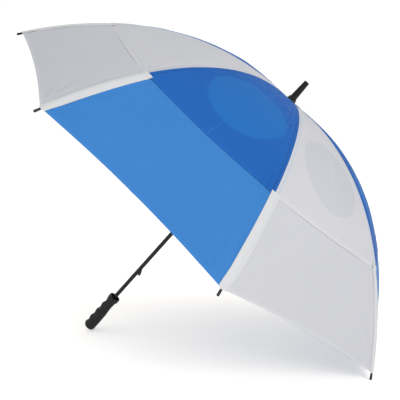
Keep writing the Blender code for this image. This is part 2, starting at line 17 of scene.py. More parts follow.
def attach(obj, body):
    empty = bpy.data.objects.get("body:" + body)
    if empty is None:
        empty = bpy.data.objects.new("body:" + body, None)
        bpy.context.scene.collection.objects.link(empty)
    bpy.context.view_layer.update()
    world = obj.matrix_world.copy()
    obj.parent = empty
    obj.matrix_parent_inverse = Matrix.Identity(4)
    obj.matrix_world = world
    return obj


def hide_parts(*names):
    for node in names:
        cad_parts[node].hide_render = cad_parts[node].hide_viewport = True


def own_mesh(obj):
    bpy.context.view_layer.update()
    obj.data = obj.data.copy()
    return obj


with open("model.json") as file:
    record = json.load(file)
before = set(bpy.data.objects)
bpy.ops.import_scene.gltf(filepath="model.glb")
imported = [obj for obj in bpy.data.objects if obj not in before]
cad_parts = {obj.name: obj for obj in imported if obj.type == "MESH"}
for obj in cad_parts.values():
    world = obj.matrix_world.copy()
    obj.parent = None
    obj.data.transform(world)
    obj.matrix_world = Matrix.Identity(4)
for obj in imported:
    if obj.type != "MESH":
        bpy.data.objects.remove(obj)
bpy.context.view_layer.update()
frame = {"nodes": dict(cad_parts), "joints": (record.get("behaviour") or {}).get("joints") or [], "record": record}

# ---- the umbrella's dimensions, as in the CAD -----------------------------------------------
SECTORS = 8
HALF = math.pi / SECTORS  # half a panel's angle
OPEN_RADIUS = 0.665  # from the shaft's axis to the rim's corners
CENTRE_RADIUS = 0.0133  # and to where the ribs start
SLOPE = (-0.120, 1.417, -0.385)  # a rib's angle below level, as a polynomial in its share
HEM_SHARE = 0.6814  # the upper canopy's free edge
JOINT_SHARE = 0.38  # where a rib's inner and outer lengths meet
VENT_SHARE = 0.47  # the middle of the round vent
VENT_R = 0.100
FABRIC = 0.0008
GAP = 0.0005  # between the two canopies
ROD_DEPTH = FABRIC + GAP + 0.0020  # the rib's axis below the lower canopy's outer face
HEM_BOW = 0.0085  # the upper hem runs this much further out between two ribs
EDGE_SCALLOP = 0.0100  # the rim is drawn in this much between two ribs
PEAK_LIFT = 0.0050  # the cloth rises over the crown
PEAK_REACH = 0.045
END_FACE = 0.577  # the handle's end, below the plane of the fabric's corners

# the hard parts; a FOOT, TOP or RIM is a height in the umbrella's own frame
FERRULE_NOSE_R = 0.0074
FERRULE_STEM_R = 0.0098
FERRULE_FLANGE_R = 0.0125
FERRULE_FLANGE = 0.0050  # the flange's thickness
FERRULE_BORE_R = 0.0064
FERRULE_BORE = 0.0350  # and the bore's depth
TIP_R = 0.0030
TIP_LENGTH = 0.0150
GRIP_TOP = -0.4600
GRIP_FOOT = -0.5697
GRIP_BORE_R = 0.0093
FINGERS = 4
CUP_R = 0.0174
CUP_RIM = -0.4462
CUP_FOOT = -0.4597
CUP_BORE_R = 0.0063
CUP_DEPTH = 0.0093
END_CAP_R = 0.0158
END_CAP_TOP = -0.5700
END_CAP_SPIGOT_R = 0.0060
END_CAP_SPIGOT = 0.0075
CATCH_FOOT = -0.3440
CATCH_LENGTH = 0.0235
CATCH_TAIL = 0.004
CATCH_BACK = 0.0033  # from the shaft's axis
CATCH_WALL = 0.0048
CATCH_NOSE = 0.0135
CATCH_HALF = 0.0010
STRAP_RIB = 2
STRAP_SHARES = (0.722, 0.928)  # from and to along its rib
STRAP_HALF = 0.011

# ---- the cloth ------------------------------------------------------------------------------
UPPER_CROWN = 0.0065  # the upper canopy's billow between two ribs, where it is fullest
BILLOW = (1.0, 1.0, 1.0, 1.3, 0.8, 1.0, 1.0, 1.0)  # each upper panel's share of it
FLOAT = (0.0, 0.0, 0.0, 0.0050, 0.0, 0.0, 0.0, 0.0)  # each upper hem's height off the lower canopy
VENT_LIGHT_SHOWS = (1.0, 1.0, 0.5, 1.0, 0.15, 1.0, 0.75, 1.0)  # how strongly each panel's painted vent light shows
FIRST_SHARE = -0.007  # the cloth runs on under the ferrule's washer
THIN = 0.00035  # one layer of cloth
HEM_EXTRA = 0.00005  # a hem's turned edge is this much thicker
HEM_WIDE = 0.0070
HEM_ROLL = 0.016  # the upper canopy turns down to the lower one over this length
HEM_CLOSE = 0.00078  # and comes this much closer to it
ALLOWANCE = 0.0090  # seam allowance beside each rib
TAPE_HALF = 0.0120
TAPE_THICK = 0.0004
TAPE_SHIFTS = (0.002, -0.001, 0.001, 0.003, 0.0095, 0.005, 0.004, -0.002)  # towards the next panel
TAPE_LAP = 0.005  # how far the tape laps over the upper hem
STRAP_THICK = 0.0014

# heights of the folds
DRIFT = 0.0012
CREASE = 0.00140  # pressed in along each panel's middle line
CREASE_WIDTH = 0.0040
PUCKER = 0.00024  # beside the seams
PUCKER_PITCH = 0.019
PULL = 0.00105  # long folds along the ribs
PULL_PITCH = 0.0135
GATHER = 0.0007  # round the ferrule, under the hem's corners and at the rim's corners
FLUTTER = 0.0010
DOUBLED = 0.00022  # two layers stand this much proud

# the grids
ROW_STEP = 0.0065
TAPE_STEP = 0.0045
STRAP_STEP = 0.004
NEAR_SEAM = np.array([0.0, 0.0012, 0.0030, 0.0058, 0.0084, 0.0098, 0.0140])
SEAM_SQUEEZE = 0.040  # a row narrower than this draws its first columns together
INNER_COLUMNS = 15
OUTER_COLUMNS = 24
HEM_FOLDS = (1.35, 1.12, 0.98, 0.85, 0.55, 0.25, 0.06, 0.0)  # rows near a free edge, in hem widths
TAPE_COLUMNS = np.array(
    [-1.0, -0.93, -0.72, -0.48, -0.26, -0.12, -0.04, 0.0, 0.04, 0.12, 0.26, 0.48, 0.72, 0.93, 1.0])
GRIP_ROWS = 181
GRIP_SIDES = 128
NUDGE = 2e-4  # step in share and across for a surface's slope

# ---- the weave and the sewing ---------------------------------------------------------------
WEAVE_PITCH = 0.00060
TWILL_PITCH = 0.0011
STITCH_PITCH = 0.0032
HEM_ROW = HEM_WIDE - 0.0015
SEAM_ROW = 0.0022
TAPE_ROW = TAPE_HALF - 0.0022

# ---- colours --------------------------------------------------------------------------------
# The upper and lower canopies are one cloth. The lower's lighter blue is painted light coming through a single
# layer, the upper's darker blue is painted shade where two layers lie together, and the white upper is painted a
# little lighter over the layer below.
BLUE_LOWER = (0.0290, 0.1320, 0.3460)
BLUE_UPPER = (0.0095, 0.0735, 0.2710)
# the vent discs: painted light through the vent on blue, painted shade on white
BLUE_VENT_PAINTED_LIGHT = (0.0120, 0.0930, 0.2960)
BLUE_ALLOWANCE = (0.0090, 0.0460, 0.1600)
WHITE_LOWER = (0.350, 0.355, 0.379)
WHITE_UPPER = (0.368, 0.371, 0.391)
WHITE_VENT_PAINTED_SHADE = (0.322, 0.331, 0.358)
WHITE_ALLOWANCE = (0.240, 0.310, 0.420)
TAPE_WHITE = (0.392, 0.398, 0.410)
FLOOR_SHADE = (0.77, 0.74, 0.695)

# ---- the studio -----------------------------------------------------------------------------
FLOOR_REACH = 30.0
FLOOR_GLOW = 0.40
WORLD_LIGHT = 1.02
KEY_PLACE = (4.2, -4.9, 2.9)
KEY_AIM = (0.0, 0.0, 0.4)
KEY_SIZE = 3.4
KEY_POWER = 350.0
CAMERA_LENS = 56.466
CAMERA_PLACE = (0.4735, -1.7289, 0.4675)
CAMERA_RIGHT = (0.95958, 0.28143, -0.00231)
CAMERA_AHEAD = (-0.28131, 0.95886, -0.03811)

# ---- the umbrella's own frame ---------------------------------------------------------------
JOINTS = {joint["name"]: joint for joint in frame["joints"]}
MOUNTS = {mount["name"]: mount for mount in frame["record"]["mounts"]}
UP = -Vector(JOINTS["runner_slide"]["axis"]).normalized()
FLOOR_SIDE = -Vector(JOINTS["top_spring_press"]["axis"]).normalized()
SIDE = UP.cross(FLOOR_SIDE)
ORIGIN = Vector(MOUNTS["handle_end"]["pos_m"]) + END_FACE * UP
PLACE = Matrix.Translation(ORIGIN) @ Matrix((FLOOR_SIDE, SIDE, UP)).transposed().to_4x4()
AXES = np.array([FLOOR_SIDE, SIDE, UP])
BASE = np.array(ORIGIN)


def to_row(points):
    """From the umbrella's own frame to the record's."""
    return points @ AXES + BASE


def smooth_step(value):
    """From 0 to 1 with a smooth start and end."""
    value = np.clip(value, 0.0, 1.0)
    return value * value * (3 - 2 * value)


# ---- the rib's line -------------------------------------------------------------------------
def slope(share):
    """The rib's angle below level."""
    return SLOPE[0] + SLOPE[1] * share + SLOPE[2] * share * share


# the rib's arc summed up in small steps, for an arc of length 1
TABLE = np.linspace(-0.03, 1.05, 5401)
MIDDLES = slope((TABLE[1:] + TABLE[:-1]) / 2)
STEP = TABLE[1] - TABLE[0]
OUT = np.concatenate([[0.0], np.cumsum(np.cos(MIDDLES) * STEP)])
DOWN = np.concatenate([[0.0], np.cumsum(np.sin(MIDDLES) * STEP)])
OUT -= np.interp(0.0, TABLE, OUT)
DOWN -= np.interp(0.0, TABLE, DOWN)
RIB_ARC = (OPEN_RADIUS - CENTRE_RADIUS) / np.interp(1.0, TABLE, OUT)
RIB_RISE = RIB_ARC * np.interp(1.0, TABLE, DOWN)


def line(share, depth=0.0):
    """Radius and height on a rib's line, a depth below the lower canopy's outer face."""
    angle = slope(share)
    radius = CENTRE_RADIUS + RIB_ARC * np.interp(share, TABLE, OUT) - depth * np.sin(angle)
    height = RIB_RISE - RIB_ARC * np.interp(share, TABLE, DOWN) - depth * np.cos(angle)
    return radius, height


def rib_outward(rib, share):
    """Outward from a rib's line, across its length."""
    turn = (2 * rib + 1) * HALF
    out, up = np.sin(slope(share)), np.cos(slope(share))
    return np.stack([math.cos(turn) * out, math.sin(turn) * out, up], axis=-1)


def half_width(share):
    """From a rib to its panel's middle line."""
    return line(share)[0] * math.sin(HALF)


# ---- the cloth's surface --------------------------------------------------------------------
def taut(share, across, panel, upper):
    """The CAD's surface, with the upper canopy's billow."""
    bow = 1.0 - across * across
    if upper:
        shift = HEM_BOW / RIB_ARC * np.clip(share / HEM_SHARE, 0, None) ** 2
        near_hem = smooth_step((share - HEM_SHARE) * RIB_ARC / HEM_ROLL + 1)
        crown = UPPER_CROWN * BILLOW[panel] * smooth_step(share / 0.35) * (1 - near_hem)
        crown = crown * (1 - 0.75 * smooth_step((share - 0.48) / 0.17))
        crown = crown + FLOAT[panel] * smooth_step((share - 0.25) / 0.30)
        height = FABRIC + GAP - near_hem * HEM_CLOSE
    else:
        beyond = np.clip((share - HEM_SHARE) / (1 - HEM_SHARE), 0, None)
        shift = -EDGE_SCALLOP / RIB_ARC * beyond**2
        crown = 0.0
        height = 0.0
    share = share + shift * bow
    radius, z = line(share, -height)
    angle = slope(share)
    middle = radius * math.cos(HALF) + crown * bow * np.sin(angle)
    z = z + crown * bow * np.cos(angle) + PEAK_LIFT * (1 - smooth_step(radius / PEAK_REACH))
    turn = (2 * panel + 2) * HALF
    side = across * radius * math.sin(HALF)
    return np.stack(
        [
            middle * math.cos(turn) - side * math.sin(turn),
            middle * math.sin(turn) + side * math.cos(turn),
            z,
        ],
        axis=-1,
    )


def waves(x, y, seed, wave):
    """Smooth uneven waves from -1 to 1, the same on every run."""
    total = 0.0
    for i in range(5):
        angle = 2.4 * i + 1.7 * seed
        pitch = wave * (0.75 + 0.19 * i)
        place = x * math.cos(angle) + y * math.sin(angle)
        total = total + np.sin(math.tau * place / pitch + 2.1 * seed * (i + 1))
    return total / 5


def folds(share, across, panel, upper):
    """How far the cloth stands off the taut surface: creases, puckers and pulls."""
    wide = half_width(share)
    seam = (1 - np.abs(across)) * wide
    middle = np.abs(across) * wide
    along = share * RIB_ARC
    to_hem = (HEM_SHARE - share) * RIB_ARC
    to_rim = (1 - share) * RIB_ARC
    side = across * wide
    free = smooth_step(seam / 0.012)
    beyond = smooth_step((share - HEM_SHARE) / 0.05)
    seed = 3 * panel + 1.0

    total = DRIFT * free * waves(side, along, seed, 0.19)
    total = total - CREASE * np.exp(-((middle / CREASE_WIDTH) ** 2)) * smooth_step(along / 0.05)

    turn = across * HALF
    gather = np.sin(13 * turn + seed) + np.sin(29 * turn)
    total = total + GATHER * np.exp(-(((along - 0.020) / 0.040) ** 2)) * gather

    pucker = np.sin(math.tau * along / PUCKER_PITCH + 3 * waves(side, along, seed, 0.11))
    pucker = np.exp(-(((seam - 0.007) / 0.008) ** 2)) * pucker
    pucker = pucker * smooth_step(0.3 + waves(side, along, seed + 3, 0.12))
    band = smooth_step((seam - 0.004) / 0.012) * smooth_step((0.070 - seam) / 0.045)
    band = band * (0.25 + 0.75 * smooth_step(0.5 + 1.3 * waves(side, along, seed + 5, 0.16)))
    wander = 2.0 * waves(side, along, seed + 2, 0.2)
    pull = np.sin(math.tau * (seam - 0.05 * along) / PULL_PITCH + wander)
    pucker_height = PUCKER * (1 - beyond * 2 / 3)
    pull_height = PULL * (1 - beyond * 5 / 7)
    total = total + pucker_height * pucker + pull_height * band * pull

    above = np.hypot(seam, to_hem)
    fan = np.sin(15 * np.arctan2(seam, to_hem + 1e-6) + seed)
    total = total + GATHER * free * (1 - beyond) * np.exp(-(((above - 0.045) / 0.035) ** 2)) * fan
    corner = np.hypot(seam, to_rim)
    fan = np.sin(13 * np.arctan2(seam, to_rim + 1e-6) + seed)
    total = total + GATHER * free * np.exp(-(((corner - 0.07) / 0.05) ** 2)) * fan

    if upper:
        apart = 0.0003 * smooth_step(to_hem / HEM_ROLL)
        return total + apart * (1 + waves(side, along, seed + 4, 0.09))
    near_rim = np.exp(-np.clip(to_rim, 0, None) / 0.035)
    flutter = FLUTTER * free * near_rim * waves(side, 0.0, seed + 4, 0.11)
    under = 0.0004 * free * smooth_step(to_hem / 0.02)
    quiet = beyond * (1 - smooth_step((seam - 0.010) / 0.008))
    return (total + flutter) * (1 - quiet) - under


def allowance(share, across, upper):
    """The doubled cloth beside a seam and along a free edge stands a little proud."""
    seam = (1 - np.abs(across)) * half_width(share)
    edge = ((HEM_SHARE if upper else 1.0) - share) * RIB_ARC
    beside = 1 - smooth_step((seam - ALLOWANCE) / 0.0012)
    along = 1 - smooth_step((edge - HEM_WIDE) / 0.0010)
    return DOUBLED * np.maximum(beside, along)


def facing(function, share, across):
    """Unit outward normals of a surface given as a function of share and across."""
    along = function(share + NUDGE, across) - function(share - NUDGE, across)
    over = function(share, across + NUDGE) - function(share, across - NUDGE)
    normal = np.cross(along, over)
    return normal / np.linalg.norm(normal, axis=-1, keepdims=True)


def cloth(panel, upper):
    """The surface with its folds, and the function that gives its normals."""
    def plain(share, across):
        return taut(share, across, panel, upper)

    def folded(share, across):
        lift = folds(share, across, panel, upper) + allowance(share, across, upper)
        return plain(share, across) + facing(plain, share, across) * lift[..., None]

    return folded, lambda share, across: facing(folded, share, across)


# ---- mesh tools -----------------------------------------------------------------------------
def link(name, mesh):
    """A new object in the scene for a mesh."""
    item = bpy.data.objects.new(name, mesh)
    bpy.context.scene.collection.objects.link(item)
    return item


def shell(name, outer, normals, thick, material, facts=None):
    """A closed thin shell: a grid of outer points, and the same grid a thickness further in.

    facts are vectors for each point, which the material reads as attributes.
    """
    rows, columns = outer.shape[:2]
    count = rows * columns
    inner = outer - normals * thick[..., None]
    points = np.concatenate([outer.reshape(-1, 3), inner.reshape(-1, 3)])
    index = np.arange(count).reshape(rows, columns)
    a, b = index[:-1, :-1].ravel(), index[1:, :-1].ravel()
    c, d = index[1:, 1:].ravel(), index[:-1, 1:].ravel()
    loop = np.concatenate([index[0, :-1], index[:-1, -1], index[-1, :0:-1], index[:0:-1, 0]])
    i, j = rows // 2 - 1, columns // 2 - 1  # a facet well inside tells which way the grid winds
    corner = outer[i, j]
    facet = np.cross(outer[i + 1, j] - corner, outer[i + 1, j + 1] - corner)
    if np.dot(facet, normals[i, j]) < 0:
        b, d = d, b
        loop = loop[::-1]
    front = np.stack([a, b, c, d], axis=1)
    back = np.stack([a, d, c, b], axis=1) + count
    after = np.roll(loop, -1)
    rim = np.stack([after, after + count, loop + count, loop], axis=1)
    faces = np.concatenate([front, back, rim])
    mesh = bpy.data.meshes.new(name)
    mesh.from_pydata(to_row(points).tolist(), [], faces.tolist())
    mesh.shade_smooth()
    both = np.concatenate([normals.reshape(-1, 3), -normals.reshape(-1, 3)]) @ AXES
    mesh.normals_split_custom_set_from_vertices(both.tolist())
    for label, values in (facts or {}).items():
        layer = mesh.attributes.new(label, "FLOAT_VECTOR", "POINT")
        flat = np.concatenate([values.reshape(-1, 3)] * 2).astype(np.float32)
        layer.data.foreach_set("vector", flat.ravel())
    mesh.materials.append(material)
    return link(name, mesh)


def lathe(name, profile, material, body, place=None, steps=72, sharp=40):
    """A solid turned about the local Z axis from (radius, height) points, open or on the axis."""
    turns = [math.tau * i / steps for i in range(steps)]
    points, rings = [], []
    for radius, z in profile:
        if radius < 1e-6:
            rings.append([len(points)] * steps)
            points.append((0.0, 0.0, z))
        else:
            rings.append(list(range(len(points), len(points) + steps)))
            points += [(radius * math.cos(t), radius * math.sin(t), z) for t in turns]
    closed = profile[0][0] > 1e-6
    faces = []
    for one, two in zip(rings, rings[1:] + rings[:1] if closed else rings[1:]):
        for i in range(steps):
            j = (i + 1) % steps
            face = []
            for corner in (one[i], two[i], two[j], one[j]):
                if corner not in face:
                    face.append(corner)
            if len(face) > 2:
                faces.append(face)
    mesh = bpy.data.meshes.new(name)
    mesh.from_pydata(points, [], faces)
    mesh.transform(PLACE @ (place or Matrix.Identity(4)))
    mesh.shade_smooth()
    mesh.set_sharp_from_angle(angle=math.radians(sharp))
    mesh.materials.append(material)
    item = link(name, mesh)
    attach(item, body)
    return item


def rounded(points, radii, steps=5):
    """A (radius, height) outline with its corners rounded: radii gives each point's own."""
    result = []
    for i, ((x, y), r) in enumerate(zip(points, radii)):
        if r <= 0 or i in (0, len(points) - 1):
            result.append((x, y))
            continue
        here = Vector((x, y))
        back = (Vector(points[i - 1]) - here).normalized()
        ahead = (Vector(points[i + 1]) - here).normalized()
        for k in range(steps + 1):
            t = k / steps
            one, two = here + back * r * (1 - t) ** 2, here + ahead * r * t**2
            place = one + two - here
            if k or (place - Vector(result[-1])).length > 1e-7:  # two arcs may meet in a point
                result.append(tuple(place))
    return result


# ---- materials ------------------------------------------------------------------------------
class Nodes:
    """A material's node tree, with short calls for the nodes that the materials share."""

    def __init__(self, name):
        self.material = bpy.data.materials.new(name)
        self.material.use_nodes = True
        self.tree = self.material.node_tree
        self.tree.nodes.clear()
        self.output = self.tree.nodes.new("ShaderNodeOutputMaterial")

    def make(self, kind, inputs=None, **settings):
        node = self.tree.nodes.new(kind)
        for key, value in settings.items():
            setattr(node, key, value)
        for key, value in (inputs or {}).items():
            self.put(node.inputs[key], value)
        return node

    def put(self, socket, value):
        if isinstance(value, bpy.types.NodeSocket):
            self.tree.links.new(value, socket)
        elif isinstance(value, tuple) and len(value) == 3 and socket.type == "RGBA":
            socket.default_value = (*value, 1.0)
        else:
            socket.default_value = value

    def math(self, operation, one, two=0.0, three=0.0):
        node = self.make("ShaderNodeMath", {0: one, 1: two, 2: three}, operation=operation)
        return node.outputs[0]

    def ramp(self, value, low, high, start=0.0, end=1.0):
        """start below low, end above high, and a smooth change between."""
        inputs = {0: value, 1: low, 2: high, 3: start, 4: end}
        node = self.make("ShaderNodeMapRange", inputs, interpolation_type="SMOOTHSTEP")
        return node.outputs[0]

    def mix(self, share, one, two):
        node = self.make("ShaderNodeMix", data_type="RGBA")
        self.put(node.inputs[0], share)
        self.put(node.inputs[6], one)
        self.put(node.inputs[7], two)
        return node.outputs[2]

    def noise(self, scale, detail=3.0, rough=0.5, vector=None):
        inputs = {"Scale": scale, "Detail": detail, "Roughness": rough}
        if vector is None:
            vector = self.make("ShaderNodeTexCoord").outputs["Object"]
        inputs["Vector"] = vector
        return self.make("ShaderNodeTexNoise", inputs).outputs[0]

    def bump(self, height, distance, strength=1.0, normal=None):
        inputs = {"Height": height, "Distance": distance, "Strength": strength}
        if normal is not None:
            inputs["Normal"] = normal
        return self.make("ShaderNodeBump", inputs).outputs[0]

    def finish(self, shader):
        self.tree.links.new(shader, self.output.inputs["Surface"])
        return self.material


def shaded(colour, share):
    """A colour made darker or lighter."""
    return tuple(channel * share for channel in colour)


def stitches(n, distance, row, along, full, none):
    """1 on the threads of a row of stitches, full to none either side of it, with gaps along it."""
    off = n.math("ABSOLUTE", n.math("SUBTRACT", distance, row))
    lane = n.ramp(off, full, none, 1.0, 0.0)
    dash = n.math("SINE", n.math("MULTIPLY", along, math.tau / STITCH_PITCH))
    return n.math("MULTIPLY", lane, n.ramp(dash, -0.35, 0.05))


def fabric_material(name, colour, vent_painted_colour=None, glow=0.04, allowance_tint=None):
    """Plain-woven nylon; vent_painted_colour is painted over the disc where the layer below is cut away: painted
    light on blue, painted shade on white.
    """
    n = Nodes(name)
    cut = n.make("ShaderNodeAttribute", attribute_name="cut").outputs["Vector"]
    cut = n.make("ShaderNodeSeparateXYZ", {0: cut})
    thread = n.make("ShaderNodeAttribute", attribute_name="thread").outputs["Vector"]
    axes = n.make("ShaderNodeSeparateXYZ", {0: thread})
    seam, edge, vent = cut.outputs
    warp, weft, vent_light_shows = axes.outputs

    shade = n.mix(n.noise(7.0, 4.0), shaded(colour, 0.965), shaded(colour, 1.03))
    if vent_painted_colour:
        vent_painted_light = n.mix(n.noise(7.0, 4.0), shaded(vent_painted_colour, 0.97), shaded(vent_painted_colour, 1.03))
        # painted light through the vent: where the layer below is cut away, each panel's share of the vent colour
        # is painted in
        hidden = n.ramp(vent, -0.0010, 0.0012)
        shade = n.mix(n.math("MULTIPLY", n.math("SUBTRACT", 1.0, hidden), vent_light_shows), shade, vent_painted_light)
        # a painted highlight in a ring round the vent's edge
        rim = n.math("MULTIPLY", n.ramp(vent, -0.004, -0.001), n.ramp(vent, 0.004, 0.010, 1.0, 0.0))
        shade = n.mix(n.math("MULTIPLY", rim, 0.10), shade, shaded(vent_painted_colour, 1.08))
        # a painted highlight along the pressed crease down the panel's middle
        pressed_highlight = n.ramp(n.math("ABSOLUTE", warp), 0.0008, 0.0024, 1.0, 0.0)
        pressed_highlight = n.math("MULTIPLY", pressed_highlight, n.ramp(n.noise(6.0, 1.0), 0.40, 0.60, 0.05, 0.42))
        shade = n.mix(pressed_highlight, shade, tuple(1.25 * c + 0.02 for c in vent_painted_colour))
    if allowance_tint:
        beside = n.ramp(seam, ALLOWANCE - 0.0010, ALLOWANCE + 0.0006, 1.0, 0.0)
        raw_edge = n.math("ABSOLUTE", n.math("SUBTRACT", seam, ALLOWANCE))
        raw_edge = n.ramp(raw_edge, 0.0004, 0.0013, 1.0, 0.0)
        shown = n.math("MAXIMUM", n.math("MULTIPLY", beside, 0.18), n.math("MULTIPLY", raw_edge, 0.75))
        shade = n.mix(shown, shade, allowance_tint)
    # painted light: the doubled hem band is painted lighter
    hem_painted_light = n.ramp(edge, HEM_WIDE - 0.0006, HEM_WIDE + 0.0006, 1.0, 0.0)
    shade = n.mix(n.math("MULTIPLY", hem_painted_light, 0.5), shade, shaded(colour, 1.10))

    pitch = math.tau / WEAVE_PITCH
    over = n.math("SINE", n.math("MULTIPLY", warp, pitch))
    under = n.math("SINE", n.math("MULTIPLY", weft, pitch))
    weave = n.math("MULTIPLY", over, under)
    stretched = n.make("ShaderNodeVectorMath", {0: thread, 1: (1.0, 0.12, 1.0)}, operation="MULTIPLY")
    slubs = n.noise(260.0, 2.0, 0.6, stretched.outputs[0])
    shade = n.mix(n.ramp(weave, -0.9, 0.9, 0.0, 0.10), shade, shaded(colour, 0.82))

    stitch = n.math("MAXIMUM", stitches(n, edge, HEM_ROW, warp, 0.00030, 0.00055),
                    stitches(n, seam, SEAM_ROW, weft, 0.00025, 0.00045))
    shade = n.mix(n.math("MULTIPLY", stitch, 0.3), shade, shaded(colour, 1.10))

    height = n.math("ADD", n.math("MULTIPLY", weave, 0.5), n.math("MULTIPLY", slubs, 0.8))
    normal = n.bump(height, 0.00006, 0.5)
    normal = n.bump(stitch, 0.00030, 0.4, normal)
    surface = n.make(
        "ShaderNodeBsdfPrincipled",
        {
            "Base Color": shade,
            "Roughness": n.ramp(slubs, 0.3, 0.7, 0.52, 0.64),
            "Specular IOR Level": 0.05,
            "Normal": normal,
        },
    )
    through = n.make("ShaderNodeBsdfTranslucent", {"Color": shade, "Normal": normal})
    both = n.make("ShaderNodeMixShader", {0: glow, 1: surface.outputs[0], 2: through.outputs[0]})
    return n.finish(both.outputs[0])


def tape_material(name, colour):
    """Twill tape with fine cross ribs."""
    n = Nodes(name)
    thread = n.make("ShaderNodeAttribute", attribute_name="thread").outputs["Vector"]
    axes = n.make("ShaderNodeSeparateXYZ", {0: thread})
    across, along = axes.outputs[0], axes.outputs[1]
    twill = n.math("SINE", n.math("MULTIPLY", n.math("ADD", across, along), math.tau / TWILL_PITCH))
    shade = n.mix(n.noise(30.0), shaded(colour, 0.96), shaded(colour, 1.02))
    shade = n.mix(n.ramp(twill, -1.0, 1.0, 0.0, 0.12), shade, shaded(colour, 0.85))
    stitch = stitches(n, n.math("ABSOLUTE", across), TAPE_ROW, along, 0.0003, 0.0005)
    shade = n.mix(n.math("MULTIPLY", stitch, 0.35), shade, shaded(colour, 0.80))
    normal = n.bump(twill, 0.00008, 0.6)
    normal = n.bump(stitch, 0.00030, -0.6, normal)
    surface = n.make(
        "ShaderNodeBsdfPrincipled",
        {"Base Color": shade, "Roughness": 0.7, "Specular IOR Level": 0.08, "Normal": normal},
    )
    return n.finish(surface.outputs[0])


def solid_material(name, colour, rough, metal=0.0, grain=900.0, depth=0.00004, wear=0.06,
                   shine=0.25, stretch=None):
    """Moulded, painted or bare surface: grain, uneven gloss and slightly paler worn patches."""
    n = Nodes(name)
    place = n.make("ShaderNodeTexCoord").outputs["Object"]
    if stretch:
        inputs = {"Vector": place, "Rotation": stretch[0], "Scale": stretch[1]}
        place = n.make("ShaderNodeMapping", inputs).outputs[0]
    fine = n.noise(grain, 3.0, 0.6, place)
    patch = n.noise(38.0, 5.0, 0.6, place)
    worn = tuple(c + wear * (0.25 + c) * 0.2 for c in colour)
    shade = n.mix(n.ramp(patch, 0.35, 0.75), colour, worn)
    surface = n.make(
        "ShaderNodeBsdfPrincipled",
        {
            "Base Color": shade,
            "Roughness": n.ramp(patch, 0.3, 0.7, max(0.05, rough - 0.07), rough + 0.07),
            "Metallic": metal,
            "Specular IOR Level": shine,
            "Normal": n.bump(fine, depth, 0.7),
        },
    )
    return n.finish(surface.outputs[0])


SHAFT_LEAN = (0.0, -math.atan2(UP.x, UP.z), 0.0)
MATERIALS = {
    "blue_upper": fabric_material(
        "nylon_blue_upper", BLUE_UPPER, BLUE_VENT_PAINTED_LIGHT, allowance_tint=BLUE_ALLOWANCE),
    "blue_lower": fabric_material("nylon_blue_lower", BLUE_LOWER),
    "white_upper": fabric_material(
        "nylon_white_upper", WHITE_UPPER, WHITE_VENT_PAINTED_SHADE, allowance_tint=WHITE_ALLOWANCE),
    "white_lower": fabric_material("nylon_white_lower", WHITE_LOWER),
    "tape": tape_material("tape_white", TAPE_WHITE),
    "black_plastic": solid_material("plastic_black", (0.0070, 0.0070, 0.0075), 0.36),
    "gloss_plastic": solid_material(
        "plastic_gloss", (0.0034, 0.0034, 0.0036), 0.20, depth=0.00002, shine=0.15),
    "grip": solid_material(
        "grip_rubber", (0.0085, 0.0083, 0.0090), 0.60, grain=1100.0, depth=0.00022, wear=0.12),
    "rubber": solid_material(
        "washer_rubber", (0.0080, 0.0080, 0.0080), 0.70, grain=700.0, depth=0.0001),
    "steel": solid_material("steel_bright", (0.30, 0.30, 0.31), 0.30, 1.0, depth=0.00001),
    "black_steel": solid_material(
        "steel_blackened", (0.012, 0.012, 0.013), 0.34, 0.0, depth=0.00002, shine=0.4),
    "shaft": solid_material(
        "shaft_lacquer", (0.0045, 0.0045, 0.0048), 0.24, grain=500.0, depth=0.00002, shine=0.30,
        stretch=(SHAFT_LEAN, (1.0, 1.0, 0.05))),
    "fibreglass": solid_material(
        "fibreglass_black", (0.0080, 0.0080, 0.0085), 0.34, grain=1500.0, depth=0.00005),
}
SLOT_LOOKS = {
    "black_plastic": "black_plastic",
    "shaft_finish": "shaft",
    "fibreglass": "fibreglass",
    "grip_rubber": "grip",
    "washer_rubber": "rubber",
    "steel": "steel",
    "black_steel": "black_steel",
}


def dress_cad_nodes():
    """Every CAD node that stays takes the material of its record slot."""
    for part in frame["record"]["subparts"]:
        look = SLOT_LOOKS.get(part["material_slot"])
        if look:
            node = frame["nodes"][part["node"]]
            node.data.materials.clear()
            node.data.materials.append(MATERIALS[look])


# ---- the canopies ---------------------------------------------------------------------------
VENT_SPAN = VENT_R / RIB_ARC  # the vent's radius as a share of the rib
JOINT_TURN = math.acos((VENT_SHARE - JOINT_SHARE) / VENT_SPAN)  # where the vent crosses the joint


def rows_between(first, last, step=ROW_STEP):
    """Even rows, about a step apart."""
    return np.linspace(first, last, max(2, round((last - first) * RIB_ARC / step) + 1))


def vent_rows(start, end, steps):
    """Rows whose ends step evenly round the vent's circle."""
    return VENT_SHARE - VENT_SPAN * np.cos(np.linspace(start, end, steps + 1))


def hem_rows(first, last):
    """Rows up to a free edge, with the fold of its hem."""
    width = HEM_WIDE / RIB_ARC
    fine = [last - width * f for f in HEM_FOLDS]
    return np.concatenate([rows_between(first, fine[0])[:-1], fine])


def piece_rows(upper, outer):
    """The rows of one piece of cloth; a lower piece has some on its vent's edge."""
    if upper:
        return hem_rows(JOINT_SHARE, HEM_SHARE) if outer else rows_between(FIRST_SHARE, JOINT_SHARE)
    if outer:
        opening = vent_rows(JOINT_TURN, math.pi, 30)
        return np.concatenate([opening[:-1], hem_rows(VENT_SHARE + VENT_SPAN, 1.0)])
    solid = rows_between(FIRST_SHARE, VENT_SHARE - VENT_SPAN)
    return np.concatenate([solid[:-1], vent_rows(0, JOINT_TURN, 11)])


